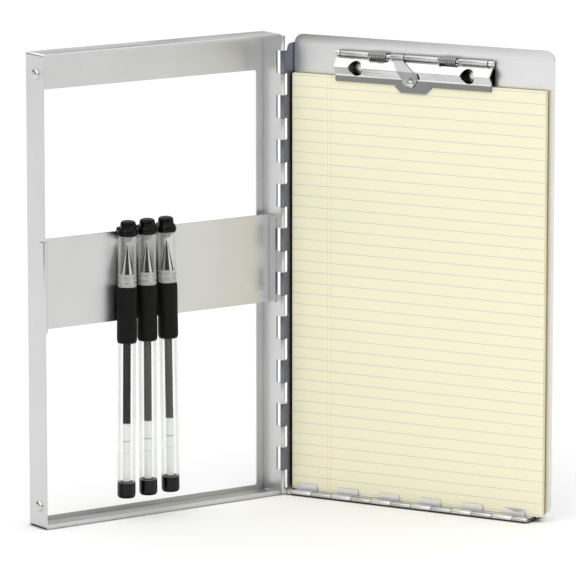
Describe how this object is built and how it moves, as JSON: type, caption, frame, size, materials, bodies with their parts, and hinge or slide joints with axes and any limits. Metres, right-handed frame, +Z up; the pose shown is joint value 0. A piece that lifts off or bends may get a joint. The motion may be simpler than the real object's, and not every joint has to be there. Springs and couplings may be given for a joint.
{
  "type": "storage clipboard box",
  "caption": "hinged sheet metal clipboard box standing open: pen tray with strap on one side, writing plate with spring clip and ruled pad over a form pan on the other",
  "frame": {"origin": "middle of the tray's underside", "axes": "+Z up, the tray's open front towards -Y, its hinge side towards +X"},
  "size_m": [0.2357, 0.156, 0.253],
  "materials": {
    "sheet_aluminium": "brushed sheet",
    "rivet_aluminium": "satin",
    "pin_steel": "drawn wire",
    "clip_nickel": "bright nickel plate",
    "lever_steel": "matt plate",
    "spring_steel": "drawn wire",
    "pad_paper": "matt, ruled",
    "pad_board": "matt",
    "pen_clear": "clear, glossy",
    "pen_ink": "glossy",
    "pen_rubber": "matt, fine dots",
    "pen_metal": "glossy",
    "pen_black": "glossy"
  },
  "bodies": {
    "tray": {"tray_frame": "sheet_aluminium", "corner_rivets": "rivet_aluminium", "side_hinge_pin": "pin_steel", "pen_strap": "sheet_aluminium"},
    "cover": {"cover_shell": "sheet_aluminium", "bottom_hinge_pin": "pin_steel"},
    "board": {"writing_plate": "sheet_aluminium", "clip_base": "clip_nickel", "clip_base_rivets": "clip_nickel", "clip_rod": "pin_steel", "clip_spring_left": "spring_steel", "clip_spring_right": "spring_steel"},
    "jaw": {"clip_jaw": "clip_nickel", "clip_lever": "lever_steel", "clip_lever_rivet": "clip_nickel"},
    "pad": {"pad_sheets": "pad_paper", "pad_backing": "pad_board"},
    "pen_left": {"pen_left_barrel": "pen_clear", "pen_left_end_plug": "pen_black", "pen_left_refill": "pen_ink", "pen_left_grip": "pen_rubber", "pen_left_tip": "pen_metal"},
    "cap_left": {"pen_left_cap": "pen_clear", "pen_left_cap_plug": "pen_black"},
    "pen_middle": {"pen_middle_barrel": "pen_clear", "pen_middle_end_plug": "pen_black", "pen_middle_refill": "pen_ink", "pen_middle_grip": "pen_rubber", "pen_middle_tip": "pen_metal"},
    "cap_middle": {"pen_middle_cap": "pen_clear", "pen_middle_cap_plug": "pen_black"},
    "pen_right": {"pen_right_barrel": "pen_clear", "pen_right_end_plug": "pen_black", "pen_right_refill": "pen_ink", "pen_right_grip": "pen_rubber", "pen_right_tip": "pen_metal"},
    "cap_right": {"pen_right_cap": "pen_clear", "pen_right_cap_plug": "pen_black"}
  },
  "joints": [
    {"name": "side_hinge", "type": "hinge", "parent": "tray", "child": "cover", "pos_m": [0.0765, -0.0089, 0], "axis": [0, 0, 1], "range_deg": [-115.46, 64.54]},
    {"name": "plate_hinge", "type": "hinge", "parent": "cover", "child": "board", "pos_m": [0.07803, -0.00817, 0.0013], "axis": [0.4299, -0.9029, 0], "range_deg": [0, 85]},
    {"name": "clip_hinge", "type": "hinge", "parent": "board", "child": "jaw", "pos_m": [0.1158, -0.07458, 0.2438], "axis": [-0.4299, 0.9029, 0], "range_deg": [0, 50], "stiffness_Nm_per_rad": 0.06, "springref_deg": -68.75, "deforming": ["clip_spring_left", "clip_spring_right"]},
    {"name": "pad_slide", "type": "slide", "parent": "board", "child": "pad", "axis": [0.4299, -0.9029, 0], "range_m": [0, 0.16]},
    {"name": "pen_left_lift", "type": "slide", "parent": "tray", "child": "pen_left", "axis": [0.0107, 0, 0.9999], "range_m": [0, 0.038]},
    {"name": "cap_left_pull", "type": "slide", "parent": "pen_left", "child": "cap_left", "axis": [0.0107, 0, 0.9999], "range_m": [0, 0.035]},
    {"name": "pen_middle_lift", "type": "slide", "parent": "tray", "child": "pen_middle", "axis": [-0.0013, 0, 1], "range_m": [0, 0.038]},
    {"name": "cap_middle_pull", "type": "slide", "parent": "pen_middle", "child": "cap_middle", "axis": [-0.0013, 0, 1], "range_m": [0, 0.035]},
    {"name": "pen_right_lift", "type": "slide", "parent": "tray", "child": "pen_right", "axis": [-0.014, 0, 0.9999], "range_m": [0, 0.038]},
    {"name": "cap_right_pull", "type": "slide", "parent": "pen_right", "child": "cap_right", "axis": [-0.014, 0, 0.9999], "range_m": [0, 0.035]}
  ]
}
